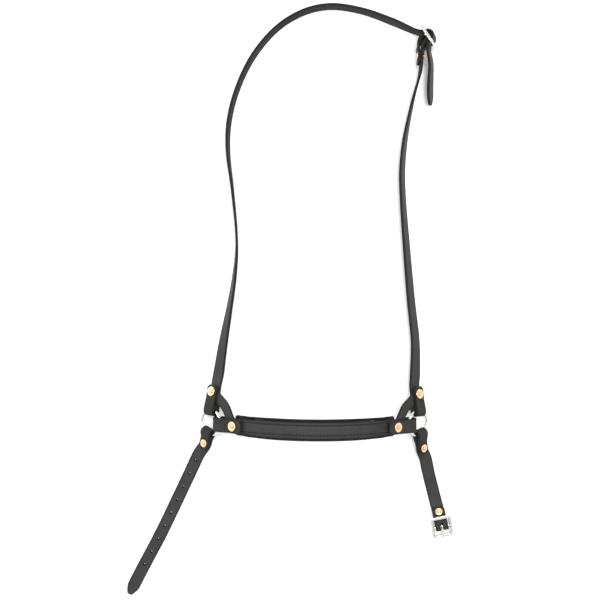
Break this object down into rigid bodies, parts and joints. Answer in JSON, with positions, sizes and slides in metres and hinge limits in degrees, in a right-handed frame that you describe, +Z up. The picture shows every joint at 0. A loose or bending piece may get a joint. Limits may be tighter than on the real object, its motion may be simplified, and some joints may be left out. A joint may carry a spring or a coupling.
{
  "type": "drop noseband",
  "caption": "Leather horse noseband on a long head strap: padded nose strap between two rings, brace straps, a punched chin strap and a buckled one.",
  "frame": {"origin": "on the table, below the middle of the outline", "axes": "+X across the noseband, +Y from the chin straps towards the poll, +Z up from the table"},
  "size_m": [0.4488, 0.8102, 0.079],
  "materials": {
    "strap_leather": "satin black bridle leather",
    "lining_leather": "soft matt black leather",
    "padding": "felt",
    "nickel": "polished nickel plate",
    "copper": "hammered polished copper",
    "thread": "waxed black thread"
  },
  "bodies": {
    "root": {"head_strap": "strap_leather", "right_cheek_strap": "strap_leather", "noseband_strap": "strap_leather", "noseband_lining": "lining_leather", "noseband_padding": "padding", "left_brace_strap": "strap_leather", "right_brace_strap": "strap_leather", "head_buckle_frame": "nickel", "left_cheek_rivet": "copper", "left_cheek_burr": "copper", "right_cheek_rivet": "copper", "right_cheek_burr": "copper", "left_nose_rivet": "copper", "left_nose_burr": "copper", "right_nose_rivet": "copper", "right_nose_burr": "copper", "head_buckle_rivet": "copper", "head_buckle_burr": "copper"},
    "left_ring": {"left_ring": "nickel"},
    "right_ring": {"right_ring": "nickel"},
    "left_chin_strap": {"left_chin_strap": "strap_leather", "left_chin_rivet": "copper", "left_chin_burr": "copper"},
    "right_chin_strap": {"right_chin_strap": "strap_leather", "right_chin_rivet": "copper", "right_chin_burr": "copper", "chin_buckle_rivet": "copper", "chin_buckle_burr": "copper"},
    "chin_buckle_frame": {"chin_buckle_frame": "nickel"},
    "chin_buckle_tongue": {"chin_buckle_tongue": "nickel"},
    "head_buckle_tongue": {"head_buckle_tongue": "nickel"}
  },
  "joints": [
    {"name": "left_ring_turn", "type": "hinge", "parent": "root", "child": "left_ring", "pos_m": [-0.10781, -0.16507, 0.01486], "axis": [-0.6157, 0, 0.788], "range_deg": [-25, 10]},
    {"name": "right_ring_turn", "type": "hinge", "parent": "root", "child": "right_ring", "pos_m": [0.17419, -0.16637, 0.01486], "axis": [-0.6157, 0, -0.788], "range_deg": [-25, 5]},
    {"name": "left_chin_fold", "type": "hinge", "parent": "left_ring", "child": "left_chin_strap", "pos_m": [-0.11209, -0.17997, 0.01152], "axis": [-0.7405, 0.342, -0.5785], "range_deg": [-25, 85]},
    {"name": "right_chin_fold", "type": "hinge", "parent": "right_ring", "child": "right_chin_strap", "pos_m": [0.17721, -0.18176, 0.0125], "axis": [-0.7646, -0.2419, 0.5974], "range_deg": [-25, 85]},
    {"name": "chin_buckle_swing", "type": "hinge", "parent": "right_chin_strap", "child": "chin_buckle_frame", "pos_m": [0.20749, -0.30897, 0.00746], "axis": [0.9792, 0.2028, 0], "range_deg": [0, 75]},
    {"name": "chin_tongue_lift", "type": "hinge", "parent": "chin_buckle_frame", "child": "chin_buckle_tongue", "pos_m": [0.20749, -0.30897, 0.00746], "axis": [-0.9792, -0.2028, 0], "range_deg": [0, 120]},
    {"name": "head_tongue_lift", "type": "hinge", "parent": "root", "child": "head_buckle_tongue", "pos_m": [0.18697, 0.35702, 0.0184], "axis": [0.3725, -0.1316, -0.9187], "range_deg": [0, 5]}
  ]
}
